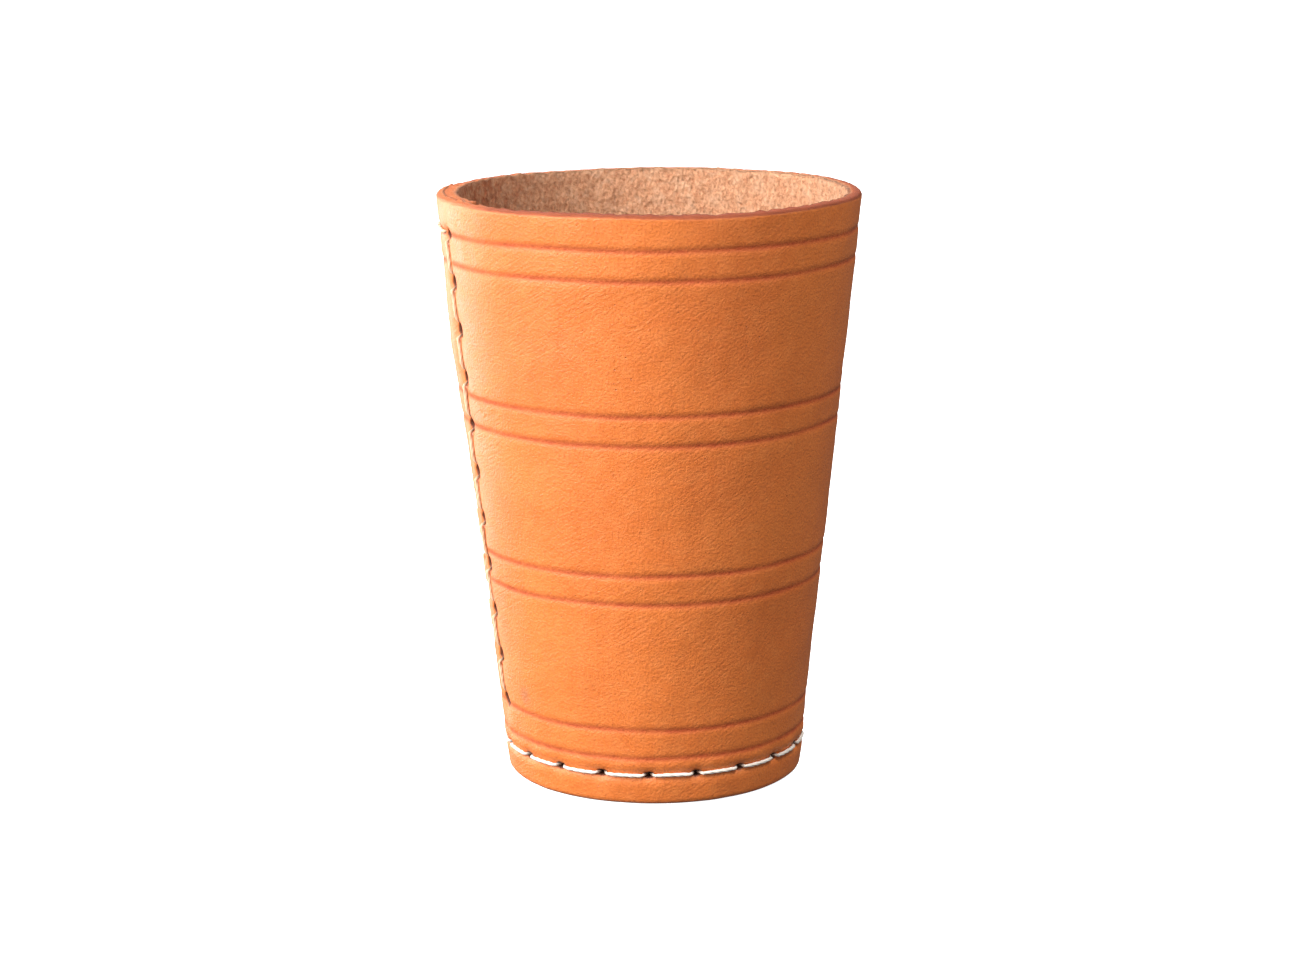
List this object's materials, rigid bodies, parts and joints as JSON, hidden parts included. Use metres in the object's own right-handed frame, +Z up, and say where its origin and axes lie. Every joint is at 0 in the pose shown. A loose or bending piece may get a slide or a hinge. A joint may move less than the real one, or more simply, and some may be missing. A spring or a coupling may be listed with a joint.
{
  "type": "leather dice cup",
  "caption": "Tapered dice cup of rolled leather with a lapped, double-sewn side seam, creased line pairs and a pressed leather base sewn in round the foot.",
  "frame": {"origin": "centre of the foot, in the plane that the cup stands on", "axes": "+Z up along the cup's axis, -Y the front, -X the side with the seam"},
  "size_m": [0.0678, 0.0678, 0.095],
  "materials": {
    "wall_leather": "vegetable-tanned full grain, natural orange tan, satin outside, raw suede inside",
    "base_leather": "pressed vegetable-tanned leather, matt",
    "thread": "off-white twisted thread, matt"
  },
  "bodies": {
    "root": {"wall": "wall_leather", "base": "base_leather", "side_seam_outer_thread": "thread", "side_seam_inner_thread": "thread", "base_seam_outer_thread": "thread", "base_seam_inner_thread": "thread"}
  },
  "joints": []
}
